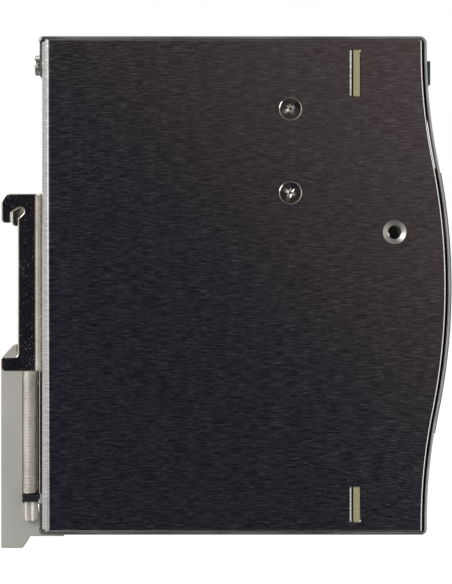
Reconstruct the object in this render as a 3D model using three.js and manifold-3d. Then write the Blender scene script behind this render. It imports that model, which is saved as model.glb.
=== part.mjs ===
// A power supply for a 35 mm mounting rail: a folded sheet casing with a swelling front,
// a steel rail bracket with a sprung plastic latch, and the boards and parts inside it.
// Millimetres. +X is the unit's right side seen from the front, -Y its front, +Y the rail side, +Z up.
// The origin is the rail's centre: y = 0 is the plane where the rail's lips bear on the bracket.
import * as THREE from "three";
import { mergeVertices } from "three/addons/utils/BufferGeometryUtils.js";
import Module from "manifold-3d";

const wasm = await Module();
wasm.setup();

// ---------------------------------------------------------------- driving dimensions
const CASE_WIDTH = 50;
const HALF_WIDTH = CASE_WIDTH / 2;
const CASE_TOP = 60.8;
const CASE_BOTTOM = -62.55;
const SWELL_MIDDLE = -1.2; // height of the front's crest
const REAR_FACE = -6.5; // outer face of the rear wall
const SIDE_FRONT = -100.6; // front edge of the side walls at their flat ends
const FRONT_SWELL = 5.9; // how far the front swells beyond its flat ends
const SWELL_HALF = 58.6; // half the height over which it swells
const CREST_SHARE = 0.527; // the crest arc's part of the two arcs' radii

const COVER = 1.0; // sheet of the side cover
const COVER_EDGE = 0.38; // rounding of its side walls' outer edges
const COVER_BEND = 2.15; // outer radius of its rear bends
const WRAP = 0.7; // sheet of the wrap
const WRAP_EDGE = 0.45; // rounding of its outer side edges
const WRAP_TOP_CORNER = 1.9; // outer radii of the wrap's front corners
const WRAP_BOTTOM_CORNER = 1.4;
const WRAP_GAP = 0.5; // shadow gap between the side walls' front edge and the wrap
const PLAY = 0.05; // clearance between sheets that rest on each other

const RAIL_HEIGHT = 35;
const BRACKET_HALF = 17; // half the width over the bracket's flanges
const BRACKET_SHEET = 1.6;
const BRACKET_BEND = 2.4;
const BRACKET_BACK = REAR_FACE + 0.1; // the web's face against the casing
const BRACKET_TOP = 22.1;
const BRACKET_FOOT = -22.4; // underside of the flanges' feet
const WEB_FOOT = -53.6; // lower end of the web's narrow tongue
const TONGUE_HALF = 9.2; // half the width of that tongue

const LATCH_HALF = 6.5; // half the latch's width
const LATCH_BACK = 5.1;
const LATCH_FACE = -0.4;
const LATCH_FOOT = -67.6;
const LATCH_TRAVEL = 5;

const BOARD = 1.6;
const FRONT_BOARD_Y = -84.4; // middle plane of the front board
const MAIN_BOARD_X = 19.2; // middle plane of the main board
const TERMINAL_FACE = -102.2; // front face of the terminal blocks
const INNER_TOP = CASE_TOP - WRAP;
const INNER_BOTTOM = CASE_BOTTOM + WRAP;

// ---------------------------------------------------------------- solids
// A closed three.js geometry as a solid that can be joined and cut.
function solid(geometry) {
  const plain = geometry.index ? geometry.toNonIndexed() : geometry.clone();
  plain.deleteAttribute("normal");
  plain.deleteAttribute("uv");
  const merged = mergeVertices(plain, 1e-4);
  return new wasm.Manifold(
    new wasm.Mesh({
      numProp: 3,
      vertProperties: merged.attributes.position.array,
      triVerts: new Uint32Array(merged.index.array),
    }),
  );
}

// The three.js geometry of a joined or cut solid.
function geometryOf(manifold) {
  const mesh = manifold.getMesh();
  const geometry = new THREE.BufferGeometry();
  geometry.setAttribute("position", new THREE.BufferAttribute(mesh.vertProperties, 3));
  geometry.setIndex(new THREE.BufferAttribute(mesh.triVerts, 1));
  geometry.computeVertexNormals();
  return geometry;
}

const join = (first, ...rest) => rest.reduce((sum, each) => sum.add(each), first);
const cut = (first, ...rest) => rest.reduce((left, each) => left.subtract(each), first);

// A box between two corners.
function box(x0, x1, y0, y1, z0, z1) {
  const geometry = new THREE.BoxGeometry(x1 - x0, y1 - y0, z1 - z0);
  return solid(geometry.translate((x0 + x1) / 2, (y0 + y1) / 2, (z0 + z1) / 2));
}

// A flat shape pushed out between two planes: alongX reads it as (y, z), alongY as (x, z), alongZ as (x, y).
// Where an arc starts on the end of a line the two points are made one. With an edge radius, the solid's
// edges between its sides and its two ends are rounded.
const SAME_POINT = 1e-3;
const EDGE_STEPS = 3;
function push(shape, low, high, segments, edge = 0) {
  const points = shape.getPoints(segments);
  const apart = points.filter((point, i) => {
    const previous = points[(i + points.length - 1) % points.length];
    return point.distanceTo(previous) > SAME_POINT;
  });
  const settings = {
    depth: high - low - 2 * edge,
    bevelEnabled: edge > 0,
    bevelThickness: edge,
    bevelSize: edge,
    bevelOffset: -edge,
    bevelSegments: EDGE_STEPS,
  };
  return new THREE.ExtrudeGeometry(new THREE.Shape(apart), settings).translate(0, 0, edge);
}
function alongX(shape, low, high, segments = 4, edge = 0) {
  const turn = new THREE.Matrix4().makeBasis(
    new THREE.Vector3(0, 1, 0),
    new THREE.Vector3(0, 0, 1),
    new THREE.Vector3(1, 0, 0),
  );
  return solid(push(shape, low, high, segments, edge).applyMatrix4(turn).translate(low, 0, 0));
}
function alongY(shape, low, high, segments = 4) {
  const turn = new THREE.Matrix4().makeBasis(
    new THREE.Vector3(1, 0, 0),
    new THREE.Vector3(0, 0, 1),
    new THREE.Vector3(0, -1, 0),
  );
  return solid(push(shape, low, high, segments).applyMatrix4(turn).translate(0, high, 0));
}
function alongZ(shape, low, high, segments = 4) {
  return solid(push(shape, low, high, segments).translate(0, 0, low));
}

function disc(u, v, radius) {
  const shape = new THREE.Shape();
  shape.absarc(u, v, radius, 0, 2 * Math.PI, false);
  return shape;
}

function polygon(points) {
  return new THREE.Shape(points.map(([u, v]) => new THREE.Vector2(u, v)));
}

// A rectangle with rounded corners.
function plate(u0, u1, v0, v1, radius) {
  const shape = new THREE.Shape();
  const quarter = Math.PI / 2;
  shape.moveTo(u1, v0 + radius);
  shape.absarc(u1 - radius, v1 - radius, radius, 0, quarter, false);
  shape.absarc(u0 + radius, v1 - radius, radius, quarter, 2 * quarter, false);
  shape.absarc(u0 + radius, v0 + radius, radius, 2 * quarter, 3 * quarter, false);
  shape.absarc(u1 - radius, v0 + radius, radius, 3 * quarter, 4 * quarter, false);
  return shape;
}

// A turned solid about Z from (radius, height) points that start and end on the axis.
function turned(points, segments = 16) {
  const profile = points.map(([radius, height]) => new THREE.Vector2(radius, height));
  return solid(new THREE.LatheGeometry(profile, segments).rotateX(Math.PI / 2));
}

// ---------------------------------------------------------------- the scene graph
const unit = new THREE.Group();

function finish(color, roughness, metalness) {
  return new THREE.MeshStandardMaterial({ color, roughness, metalness });
}
const brushedSteel = finish(0x8c8c90, 0.32, 1);
const zincSteel = finish(0xb9b6ad, 0.35, 1);
const nickel = finish(0xcfccc4, 0.2, 1);
const wrapSteel = finish(0x9b9b9a, 0.35, 1);
const labelFilm = finish(0x23262b, 0.5, 0);
const latchPlastic = finish(0xa09f9a, 0.55, 0);
const terminalPlastic = finish(0x3a3d40, 0.5, 0);
const greenPlastic = finish(0x2f6b3f, 0.45, 0);
const lampPlastic = finish(0x6fd08c, 0.15, 0);
const bluePlastic = finish(0x2a5fa8, 0.4, 0);
const whitePlastic = finish(0xe6e4dc, 0.5, 0);
const boardFibre = finish(0x2d5a34, 0.45, 0);
const insulation = finish(0xd8cfae, 0.6, 0);
const aluminium = finish(0xb8babd, 0.4, 1);
const epoxy = finish(0x1d1d1f, 0.45, 0);
const ferrite = finish(0x2b2a29, 0.7, 0);
const tape = finish(0xd8b53a, 0.4, 0);
const sleeve = finish(0x24272d, 0.35, 0);
const filmYellow = finish(0xd9a92c, 0.4, 0);
const ceramicBlue = finish(0x2f55a0, 0.45, 0);
const copper = finish(0xa9562c, 0.35, 1);

// Adds a named piece to the unit, at a place and turn of its own where it has one.
function piece(name, manifold, material, place = [0, 0, 0], turn = [0, 0, 0]) {
  const mesh = new THREE.Mesh(geometryOf(manifold), material);
  mesh.name = name;
  mesh.position.set(...place);
  mesh.rotation.set(...turn);
  unit.add(mesh);
}
const FACING_LEFT = [0, -Math.PI / 2, 0]; // turns +Z to -X
const FACING_RIGHT = [0, Math.PI / 2, 0]; // turns +Z to +X
const FACING_REAR = [-Math.PI / 2, 0, 0]; // turns +Z to +Y
const FACING_FRONT = [Math.PI / 2, 0, 0]; // turns +Z to -Y

// ---------------------------------------------------------------- the casing's outline
// How far the front stands proud at a height above the middle: a crest arc between two hollow arcs.
const ARC_TURN = 2 * Math.atan(FRONT_SWELL / SWELL_HALF);
const ARC_SUM = SWELL_HALF / Math.sin(ARC_TURN);
const CREST_RADIUS = CREST_SHARE * ARC_SUM;
const HOLLOW_RADIUS = ARC_SUM - CREST_RADIUS;
function swell(height) {
  const rise = Math.abs(height - SWELL_MIDDLE);
  if (rise >= SWELL_HALF) return 0;
  if (rise <= CREST_RADIUS * Math.sin(ARC_TURN)) {
    return FRONT_SWELL - CREST_RADIUS + Math.sqrt(CREST_RADIUS ** 2 - rise ** 2);
  }
  return HOLLOW_RADIUS - Math.sqrt(HOLLOW_RADIUS ** 2 - (SWELL_HALF - rise) ** 2);
}

// The casing seen from the side, as (y, z): rear and front at the flat ends, bottom and top, corner radii.
function casingOutline(rear, front, bottom, top, rearRadius, topRadius, bottomRadius = topRadius) {
  const quarter = Math.PI / 2;
  const steps = 36;
  const shape = new THREE.Shape();
  shape.moveTo(rear, bottom + rearRadius);
  shape.absarc(rear - rearRadius, top - rearRadius, rearRadius, 0, quarter, false);
  shape.absarc(front + topRadius, top - topRadius, topRadius, quarter, 2 * quarter, false);
  for (let i = 0; i <= steps; i++) {
    const height = SWELL_MIDDLE + SWELL_HALF * (1 - (2 * i) / steps);
    shape.lineTo(front - swell(height), height);
  }
  shape.absarc(front + bottomRadius, bottom + bottomRadius, bottomRadius, 2 * quarter, 3 * quarter, false);
  shape.absarc(rear - rearRadius, bottom + rearRadius, rearRadius, 3 * quarter, 4 * quarter, false);
  return shape;
}

// ---------------------------------------------------------------- fastenings' places
const SIDE_SCREWS = { upper: [-68, 42.7], lower: [-68, 22.0] };
const SIDE_INSERT = [-93.8, 12.3];
const REAR_SCREW_X = 16;
const REAR_SCREW_Z = { upper: 54.2, lower: -56.8 };
const REAR_HEAD = { upper: 1.4, lower: 0.6 }; // the lower two have low heads, clear of the latch
const RIVET_X = 10;
const RIVET_Z = { upper: 14, lower: -14 };
const SLOT_WIDTH = 2.7;
const SLOT_Y = -84.05;
const SLOTS = [[45.7, 57.6], [-59.6, -50.5]];
const HOLE_SIDES = 5; // arc segments in a small hole, per quarter turn or so

// ---------------------------------------------------------------- side cover: left wall, rear wall, right wall
function coverPlan() {
  const deep = SIDE_FRONT - FRONT_SWELL - 2;
  const quarter = Math.PI / 2;
  const inner = COVER_BEND - COVER;
  const side = HALF_WIDTH;
  const shape = new THREE.Shape();
  shape.moveTo(-side, deep);
  shape.lineTo(-side, REAR_FACE - COVER_BEND);
  shape.absarc(-side + COVER_BEND, REAR_FACE - COVER_BEND, COVER_BEND, 2 * quarter, quarter, true);
  shape.absarc(side - COVER_BEND, REAR_FACE - COVER_BEND, COVER_BEND, quarter, 0, true);
  shape.lineTo(side, deep);
  shape.lineTo(side - COVER, deep);
  shape.absarc(side - COVER_BEND, REAR_FACE - COVER_BEND, inner, 0, quarter, false);
  shape.absarc(-side + COVER_BEND, REAR_FACE - COVER_BEND, inner, quarter, 2 * quarter, false);
  shape.lineTo(-side + COVER, deep);
  return shape;
}

function sideCover() {
  const [insertY, insertZ] = SIDE_INSERT;
  const outline = casingOutline(REAR_FACE, SIDE_FRONT, INNER_BOTTOM + PLAY, INNER_TOP - PLAY, 0.6, 0.6, 0.45);
  const folded = alongZ(coverPlan(), CASE_BOTTOM, CASE_TOP).intersect(
    alongX(outline, -HALF_WIDTH, HALF_WIDTH, 4, COVER_EDGE),
  );
  const holes = [alongX(disc(insertY, insertZ, 3.0), -30, 30, 12)];
  for (const [y, z] of Object.values(SIDE_SCREWS)) {
    holes.push(alongX(disc(y, z, 1.6), -30, 0, HOLE_SIDES));
  }
  for (const [low, high] of SLOTS) {
    const half = SLOT_WIDTH / 2;
    holes.push(alongX(plate(SLOT_Y - half, SLOT_Y + half, low, high, 0.5), -30, 30, 2));
  }
  for (const x of [-REAR_SCREW_X, REAR_SCREW_X]) {
    for (const z of Object.values(REAR_SCREW_Z)) {
      holes.push(alongY(disc(x, z, 1.55), REAR_FACE - 2, REAR_FACE + 1, HOLE_SIDES));
    }
  }
  for (const x of [-RIVET_X, RIVET_X]) {
    for (const z of Object.values(RIVET_Z)) {
      holes.push(alongY(disc(x, z, 1.65), REAR_FACE - 2, REAR_FACE + 1, HOLE_SIDES));
    }
  }
  return cut(folded, ...holes);
}
piece("side_cover", sideCover(), brushedSteel);

// ---------------------------------------------------------------- wrap: top, swelling front and bottom in one sheet
const WRAP_FRONT = SIDE_FRONT - WRAP_GAP - WRAP; // its outer face at the flat ends
const REAR_BEND = 1.25; // outer radius of its rear bends
const TAB_INNER = 11; // the rear tabs run from here
const TAB_OUTER = 21; // to here
const TAB_LENGTH = 9.6; // measured down from the top, or up from the bottom
const TAB_CORNER = 2.2; // its two corners are cut off by this much
const VENT_WIDTH = 2.2;
const VENT_LENGTH = 15;
const VENT_PITCH = 5.4;
const VENT_ROWS = 14;
const VENT_FIRST = -17; // the rearmost vent
const LAMP = { x: -11, z: 21, radius: 1.5 };
const TRIMMER = { x: 11, z: 21, radius: 2.2 };
const WINDOWS = {
  output: [-21, 21, 28.2, 45.8],
  input: [-16, 16, -56.3, -38.7],
  plug: [-5, 5, 49.9, 56.8],
};

function vents() {
  const found = [];
  for (let row = 0; row < VENT_ROWS; row++) {
    const y = VENT_FIRST - row * VENT_PITCH;
    for (const middle of [-10, 10]) {
      const [x0, x1] = [middle - VENT_LENGTH / 2, middle + VENT_LENGTH / 2];
      const [y0, y1] = [y - VENT_WIDTH / 2, y + VENT_WIDTH / 2];
      found.push([x0, x1, y0, y1]);
    }
  }
  return found;
}

function wrap() {
  const rear = REAR_FACE + PLAY + WRAP;
  const outer = casingOutline(
    rear,
    WRAP_FRONT,
    CASE_BOTTOM,
    CASE_TOP,
    REAR_BEND,
    WRAP_TOP_CORNER,
    WRAP_BOTTOM_CORNER,
  );
  const inner = casingOutline(
    rear - WRAP,
    WRAP_FRONT + WRAP,
    INNER_BOTTOM,
    INNER_TOP,
    REAR_BEND - WRAP,
    WRAP_TOP_CORNER - WRAP,
    WRAP_BOTTOM_CORNER - WRAP,
  );
  const cutters = [
    alongX(inner, -HALF_WIDTH - 1, HALF_WIDTH + 1),
    box(-30, 30, rear - 3, rear + 1, CASE_BOTTOM + TAB_LENGTH, CASE_TOP - TAB_LENGTH),
  ];
  // Beside the tabs the sheet ends with its bend over the cover's edge.
  for (const [low, high] of [[-30, -TAB_OUTER], [-TAB_INNER, TAB_INNER], [TAB_OUTER, 30]]) {
    cutters.push(box(low, high, REAR_FACE - 0.02, 0, CASE_BOTTOM + REAR_BEND, CASE_TOP - REAR_BEND));
  }
  for (const x of [-TAB_OUTER, -TAB_INNER, TAB_INNER, TAB_OUTER]) {
    for (const z of [CASE_BOTTOM + TAB_LENGTH, CASE_TOP - TAB_LENGTH]) {
      const corner = [[x - TAB_CORNER, z], [x, z - TAB_CORNER], [x + TAB_CORNER, z], [x, z + TAB_CORNER]];
      cutters.push(alongY(polygon(corner), REAR_FACE - 0.02, 0));
    }
  }
  for (const vent of vents()) {
    cutters.push(box(...vent, INNER_TOP - 1, CASE_TOP + 1));
    cutters.push(box(...vent, CASE_BOTTOM - 1, INNER_BOTTOM + 1));
  }
  for (const [x0, x1, z0, z1] of Object.values(WINDOWS)) {
    cutters.push(alongY(plate(x0, x1, z0, z1, 0.8), -112, -95, 2));
  }
  cutters.push(alongY(disc(LAMP.x, LAMP.z, LAMP.radius + 0.15), -112, -95, HOLE_SIDES));
  cutters.push(alongY(disc(TRIMMER.x, TRIMMER.z, TRIMMER.radius), -112, -95, HOLE_SIDES));
  for (const x of [-REAR_SCREW_X, REAR_SCREW_X]) {
    for (const z of Object.values(REAR_SCREW_Z)) {
      cutters.push(alongY(disc(x, z, 1.6), REAR_FACE - 1, 0, HOLE_SIDES));
    }
  }
  return cut(alongX(outer, -HALF_WIDTH, HALF_WIDTH, 4, WRAP_EDGE), ...cutters);
}
piece("front_wrap", wrap(), wrapSteel);

// The printed film on the front, between the two rows of terminals.
const FILM = 0.25;
const FILM_SIDE = 1.2; // how far it stops short of the casing's sides
const FILM_BOTTOM = WINDOWS.input[3] + 1.2;
const FILM_TOP = WINDOWS.output[2] - 1.2;
function frontFilm() {
  const face = WRAP_FRONT - 0.02;
  const steps = 24;
  const shape = new THREE.Shape();
  const heights = [];
  for (let i = 0; i <= steps; i++) heights.push(FILM_BOTTOM + ((FILM_TOP - FILM_BOTTOM) * i) / steps);
  shape.moveTo(face - swell(heights[0]), heights[0]);
  for (const z of heights.slice(1)) shape.lineTo(face - swell(z), z);
  for (const z of heights.reverse()) shape.lineTo(face - FILM - swell(z), z);
  const sheet = alongX(shape, -HALF_WIDTH + FILM_SIDE, HALF_WIDTH - FILM_SIDE);
  return cut(
    sheet,
    alongY(disc(LAMP.x, LAMP.z, LAMP.radius + 0.15), -112, -95, HOLE_SIDES),
    alongY(disc(TRIMMER.x, TRIMMER.z, TRIMMER.radius), -112, -95, HOLE_SIDES),
  );
}
piece("front_label", frontFilm(), labelFilm);

// ---------------------------------------------------------------- rail bracket
// A channel whose web lies on the casing and whose flanges hook over the rail's upper lip.
function bracketPlan() {
  const quarter = Math.PI / 2;
  const side = BRACKET_HALF;
  const rear = 6;
  const inner = BRACKET_BEND - BRACKET_SHEET;
  const bendY = BRACKET_BACK + BRACKET_BEND;
  const shape = new THREE.Shape();
  shape.moveTo(-side, rear);
  shape.lineTo(-side, bendY);
  shape.absarc(-side + BRACKET_BEND, bendY, BRACKET_BEND, 2 * quarter, 3 * quarter, false);
  shape.absarc(side - BRACKET_BEND, bendY, BRACKET_BEND, 3 * quarter, 4 * quarter, false);
  shape.lineTo(side, rear);
  shape.lineTo(side - BRACKET_SHEET, rear);
  shape.absarc(side - BRACKET_BEND, bendY, inner, 4 * quarter, 3 * quarter, true);
  shape.absarc(-side + BRACKET_BEND, bendY, inner, 3 * quarter, 2 * quarter, true);
  shape.lineTo(-side + BRACKET_SHEET, rear);
  return shape;
}

// The flange from the side, as (y, z): the foot, the edge that meets the rail, the slanting notch and the hook.
const FOOT_TOP = -18.8;
const FLANGE_REAR = 4.1; // at the hook
const FOOT_REAR = 4.3;
const HOOK_TIP = 14.8;
const HOOK_FACE = 1.65; // the hook's face towards the rail's lip
const SEAT_TOP = 16.0; // upper end of the edge that meets the rail
const NOTCH_END = { y: -0.6, z: RAIL_HEIGHT / 2 + 0.2, radius: 0.95 };
function flangeProfile() {
  const quarter = Math.PI / 2;
  const shape = new THREE.Shape();
  shape.moveTo(BRACKET_BACK - 1, BRACKET_FOOT);
  shape.lineTo(0, BRACKET_FOOT);
  shape.absarc(FOOT_REAR - 1.2, BRACKET_FOOT + 1.2, 1.2, 3 * quarter, 4 * quarter, false);
  shape.absarc(FOOT_REAR - 0.6, FOOT_TOP - 0.6, 0.6, 0, quarter, false);
  shape.absarc(0.9, FOOT_TOP + 0.9, 0.9, 3 * quarter, 2 * quarter, true);
  shape.lineTo(0, SEAT_TOP);
  shape.lineTo(-0.45, SEAT_TOP + 0.2);
  shape.absarc(NOTCH_END.y, NOTCH_END.z, NOTCH_END.radius, 2.63 * quarter, 0.69 * quarter, true);
  shape.lineTo(HOOK_FACE, SEAT_TOP + 1.4);
  shape.lineTo(HOOK_FACE, HOOK_TIP + 0.55);
  shape.absarc(HOOK_FACE + 0.55, HOOK_TIP + 0.55, 0.55, 2 * quarter, 3 * quarter, false);
  shape.absarc(FLANGE_REAR - 1, HOOK_TIP + 1, 1, 3 * quarter, 4 * quarter, false);
  shape.absarc(FLANGE_REAR - BRACKET_BEND, BRACKET_TOP - BRACKET_BEND, BRACKET_BEND, 0, quarter, false);
  shape.lineTo(BRACKET_BACK - 1, BRACKET_TOP);
  return shape;
}

function railBracket() {
  const webFace = BRACKET_BACK + BRACKET_SHEET;
  const channel = alongZ(bracketPlan(), BRACKET_FOOT - 1, BRACKET_TOP + 1).intersect(
    alongX(flangeProfile(), -BRACKET_HALF - 1, BRACKET_HALF + 1),
  );
  const tongue = box(-TONGUE_HALF, TONGUE_HALF, BRACKET_BACK, webFace, WEB_FOOT, BRACKET_FOOT + 1);
  const holes = [];
  for (const x of [-RIVET_X, RIVET_X]) {
    for (const z of Object.values(RIVET_Z)) {
      holes.push(alongY(disc(x, z, 1.65), BRACKET_BACK - 1, webFace + 1, HOLE_SIDES));
    }
  }
  const stake = GUIDE_SHEET / 2 + 0.1;
  for (const x of [-GUIDE_SIDE + GUIDE_SHEET / 2, GUIDE_SIDE - GUIDE_SHEET / 2]) {
    for (const z of GUIDE_FEET) {
      holes.push(box(x - stake, x + stake, BRACKET_BACK - 1, webFace + 1, z - 1.6, z + 1.6));
    }
  }
  return cut(join(channel, tongue), ...holes);
}

// ---------------------------------------------------------------- latch guide: a channel open towards the casing
const GUIDE_SHEET = 0.8;
const GUIDE_SIDE = 4.7; // half its width
const GUIDE_REAR = -1.2; // outer face of its web
const GUIDE_EDGE = -4.1; // where its flanges end
const GUIDE_TOP = -18.6;
const GUIDE_FEET = [-27.5, -49.5]; // heights of the feet staked through the bracket's tongue
const NECK = { half: 1.8, low: -32.5, high: -26.0 };

piece("rail_bracket", railBracket(), zincSteel);

function latchGuide() {
  const quarter = Math.PI / 2;
  const side = GUIDE_SIDE;
  const bend = 1.2;
  const inner = bend - GUIDE_SHEET;
  const shape = new THREE.Shape();
  shape.moveTo(-side, GUIDE_EDGE);
  shape.lineTo(-side, GUIDE_REAR - bend);
  shape.absarc(-side + bend, GUIDE_REAR - bend, bend, 2 * quarter, quarter, true);
  shape.absarc(side - bend, GUIDE_REAR - bend, bend, quarter, 0, true);
  shape.lineTo(side, GUIDE_EDGE);
  shape.lineTo(side - GUIDE_SHEET, GUIDE_EDGE);
  shape.absarc(side - bend, GUIDE_REAR - bend, inner, 0, quarter, false);
  shape.absarc(-side + bend, GUIDE_REAR - bend, inner, quarter, 2 * quarter, false);
  shape.lineTo(-side + GUIDE_SHEET, GUIDE_EDGE);
  const channel = alongZ(shape, WEB_FOOT, GUIDE_TOP, 4);
  const feet = [];
  for (const x of [-side, side - GUIDE_SHEET]) {
    for (const z of GUIDE_FEET) {
      feet.push(box(x, x + GUIDE_SHEET, BRACKET_BACK + 0.1, GUIDE_EDGE + 0.5, z - 1.5, z + 1.5));
    }
  }
  const slot = box(
    -NECK.half - 0.3,
    NECK.half + 0.3,
    GUIDE_REAR - 2,
    GUIDE_REAR + 1,
    NECK.low - LATCH_TRAVEL - 0.6,
    NECK.high + 0.4,
  );
  const pinHole = alongX(disc(SPRING_Y, SPRING_PIN_Z, 0.75), -20, 20, HOLE_SIDES);
  return cut(join(channel, ...feet), slot, pinHole);
}

// ---------------------------------------------------------------- springs, their pin and the latch
const SPRING_X = 7.2; // one spring to each side of the guide
const SPRING_Y = -2.3;
const SPRING_RADIUS = 1.7;
const SPRING_PIN_Z = -19.8;
const SPRING_TOP = -20.6;
const SPRING_FOOT = -53.7;
const CLIP_TOP = -55.7;
const CLIP_FOOT = -60.5;
const CLIP_SHEET = 0.7;
const CLIP_FRONT = -4.4;
const CLIP_REAR = -1.05;
const BRIDGE_FOOT = -57.5;
const RIBS = [[-3.42, 0.96], [-1.66, 0.6]]; // (y, radius) of the two round ribs on each side of the clip

piece("latch_guide", latchGuide(), zincSteel);

const springPin = alongX(disc(0, 0, 0.55), -SPRING_X - 1.2, SPRING_X + 1.2, HOLE_SIDES);
piece("spring_pin", springPin, nickel, [0, SPRING_Y, SPRING_PIN_Z]);

for (const [side, x] of Object.entries({ left: -SPRING_X, right: SPRING_X })) {
  const coil = alongZ(disc(0, 0, SPRING_RADIUS), 0, SPRING_TOP - SPRING_FOOT, 6);
  piece(`latch_spring_${side}`, coil, nickel, [x, SPRING_Y, SPRING_FOOT]);
}

// The latch from the side, as (y, z): the ramp that the rail's lower lip pushes down, its catch, the plate and the pull foot.
const CATCH_Y = 1.2; // the catch's face, behind the rail's 1 mm lip
const LEDGE = -17.8; // where the lip's edge comes to rest
const CATCH_TOP = -15.9;
const TONGUE_FRONT = -10.9; // the pull foot reaches this far under the casing
const TONGUE_FOOT = -64.6;
function latch() {
  const profile = polygon([
    [LATCH_BACK, -19.3],
    [CATCH_Y + 0.7, CATCH_TOP],
    [CATCH_Y, CATCH_TOP],
    [CATCH_Y, LEDGE],
    [LATCH_FACE, LEDGE],
    [LATCH_FACE, CLIP_TOP - 0.4],
    [CLIP_FRONT - 0.5, CLIP_TOP - 0.4],
    [CLIP_FRONT - 0.5, CLIP_FOOT - 0.4],
    [-5.3, CASE_BOTTOM - 0.3],
    [TONGUE_FRONT, CASE_BOTTOM - 0.3],
    [TONGUE_FRONT, TONGUE_FOOT],
    [-2.1, TONGUE_FOOT],
    [LATCH_FACE, LATCH_FOOT],
    [LATCH_BACK, LATCH_FOOT],
  ]);
  const body = alongX(profile, -LATCH_HALF, LATCH_HALF);
  const neck = box(-NECK.half, NECK.half, -2.4, LATCH_FACE + 0.5, NECK.low, NECK.high);
  const head = box(-3.5, 3.5, -4.5, -2.2, NECK.low, NECK.high);
  const clipSeat = box(-10, 10, CLIP_FRONT - 1, CLIP_FRONT + CLIP_SHEET + 0.1, BRIDGE_FOOT - 0.1, CLIP_TOP + 1);
  const driverSlot = box(-2.6, 2.6, -9.2, -7.2, -70, -60);
  return cut(join(body, neck, head), clipSeat, driverSlot);
}
piece("rail_latch", latch(), latchPlastic);

// The plated clip that holds the springs' lower ends: a bridge across the latch, and on each side a leaf
// pressed into two round ribs.
function latchClip() {
  const inner = LATCH_HALF + 0.1;
  const leaf = new THREE.Shape();
  leaf.moveTo(CLIP_REAR, CLIP_TOP);
  leaf.lineTo(CLIP_FRONT, CLIP_TOP);
  leaf.absarc(CLIP_FRONT + 1.2, CLIP_FOOT + 1.2, 1.2, Math.PI, 1.5 * Math.PI, false);
  leaf.absarc(CLIP_REAR - 0.6, CLIP_FOOT + 0.6, 0.6, 1.5 * Math.PI, 2 * Math.PI, false);
  const outline = alongX(leaf, -20, 20);
  const parts = [];
  for (const side of [-1, 1]) {
    const face = side * (inner + CLIP_SHEET);
    const [low, high] = [side * inner, face].sort((a, b) => a - b);
    parts.push(box(low, high, CLIP_FRONT, CLIP_REAR, CLIP_FOOT, CLIP_TOP));
    for (const [y, radius] of RIBS) {
      parts.push(alongZ(disc(face, y, radius), CLIP_FOOT, CLIP_TOP, 6));
    }
  }
  const latchSpace = box(-inner, inner, CLIP_FRONT - 1, CLIP_REAR + 1, CLIP_FOOT - 1, CLIP_TOP + 1);
  const leaves = cut(join(...parts), latchSpace);
  const bridge = box(-inner - 0.2, inner + 0.2, CLIP_FRONT, CLIP_FRONT + CLIP_SHEET, BRIDGE_FOOT, CLIP_TOP);
  return join(bridge, leaves).intersect(outline);
}
piece("latch_clip", latchClip(), nickel);

// ---------------------------------------------------------------- fasteners
// A pan head screw along Z with its head above z = 0, and a cross recess in the head.
function panScrew(headRadius, headHeight, shankRadius, shankLength, segments) {
  const blank = turned(
    [
      [0, -shankLength],
      [shankRadius, -shankLength],
      [shankRadius, 0],
      [headRadius, 0],
      [headRadius, headHeight * 0.45],
      [headRadius * 0.85, headHeight * 0.85],
      [headRadius * 0.5, headHeight],
      [0, headHeight],
    ],
    segments,
  );
  return cut(blank, ...crossRecess(headRadius * 0.56, headRadius * 0.2, headHeight));
}

// Two crossed blades that cut a Phillips recess down from a height.
function crossRecess(reach, width, top) {
  const half = width / 2;
  const floor = top * 0.3;
  return [
    box(-reach, reach, -half, half, floor, top + 1),
    box(-half, half, -reach, reach, floor, top + 1),
  ];
}

for (const [name, [y, z]] of Object.entries(SIDE_SCREWS)) {
  const screw = panScrew(2.95, 1.5, 1.5, 3.8, 20);
  piece(`side_screw_${name}`, screw, nickel, [-HALF_WIDTH - 0.02, y, z], FACING_LEFT);
}
for (const [height, z] of Object.entries(REAR_SCREW_Z)) {
  for (const [side, x] of Object.entries({ left: -REAR_SCREW_X, right: REAR_SCREW_X })) {
    const screw = panScrew(2.55, REAR_HEAD[height], 1.45, 5, 14);
    const face = REAR_FACE + PLAY + WRAP + 0.02;
    piece(`rear_screw_${height}_${side}`, screw, nickel, [x, face, z], FACING_REAR);
  }
}
for (const [height, z] of Object.entries(RIVET_Z)) {
  for (const [side, x] of Object.entries({ left: -RIVET_X, right: RIVET_X })) {
    const rivet = turned(
      [
        [0, -3.2],
        [1.5, -3.2],
        [1.5, 0],
        [3.0, 0],
        [2.7, 0.55],
        [1.6, 0.9],
        [0, 0.95],
      ],
      16,
    );
    const face = BRACKET_BACK + BRACKET_SHEET + 0.02;
    piece(`bracket_rivet_${height}_${side}`, rivet, nickel, [x, face, z], FACING_REAR);
  }
}

// A threaded insert pressed in from inside, its shank flush with the side wall's outer face.
function sideInsert() {
  return turned(
    [
      [1.65, -3.2],
      [3.9, -3.2],
      [3.9, -COVER - 0.05],
      [2.93, -COVER - 0.05],
      [2.93, 0],
      [2.8, 0],
      [1.7, -0.7],
      [1.65, -3.2],
    ],
    24,
  );
}
const [insertY, insertZ] = SIDE_INSERT;
piece("side_insert_left", sideInsert(), zincSteel, [-HALF_WIDTH, insertY, insertZ], FACING_LEFT);
piece("side_insert_right", sideInsert(), zincSteel, [HALF_WIDTH, insertY, insertZ], FACING_RIGHT);

// ---------------------------------------------------------------- boards
const MAIN_FACE = MAIN_BOARD_X - BOARD / 2; // the component side of the main board
const SUPPORTS = [[-14, 52], [-78, 52], [-14, -54], [-78, -54]];

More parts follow.
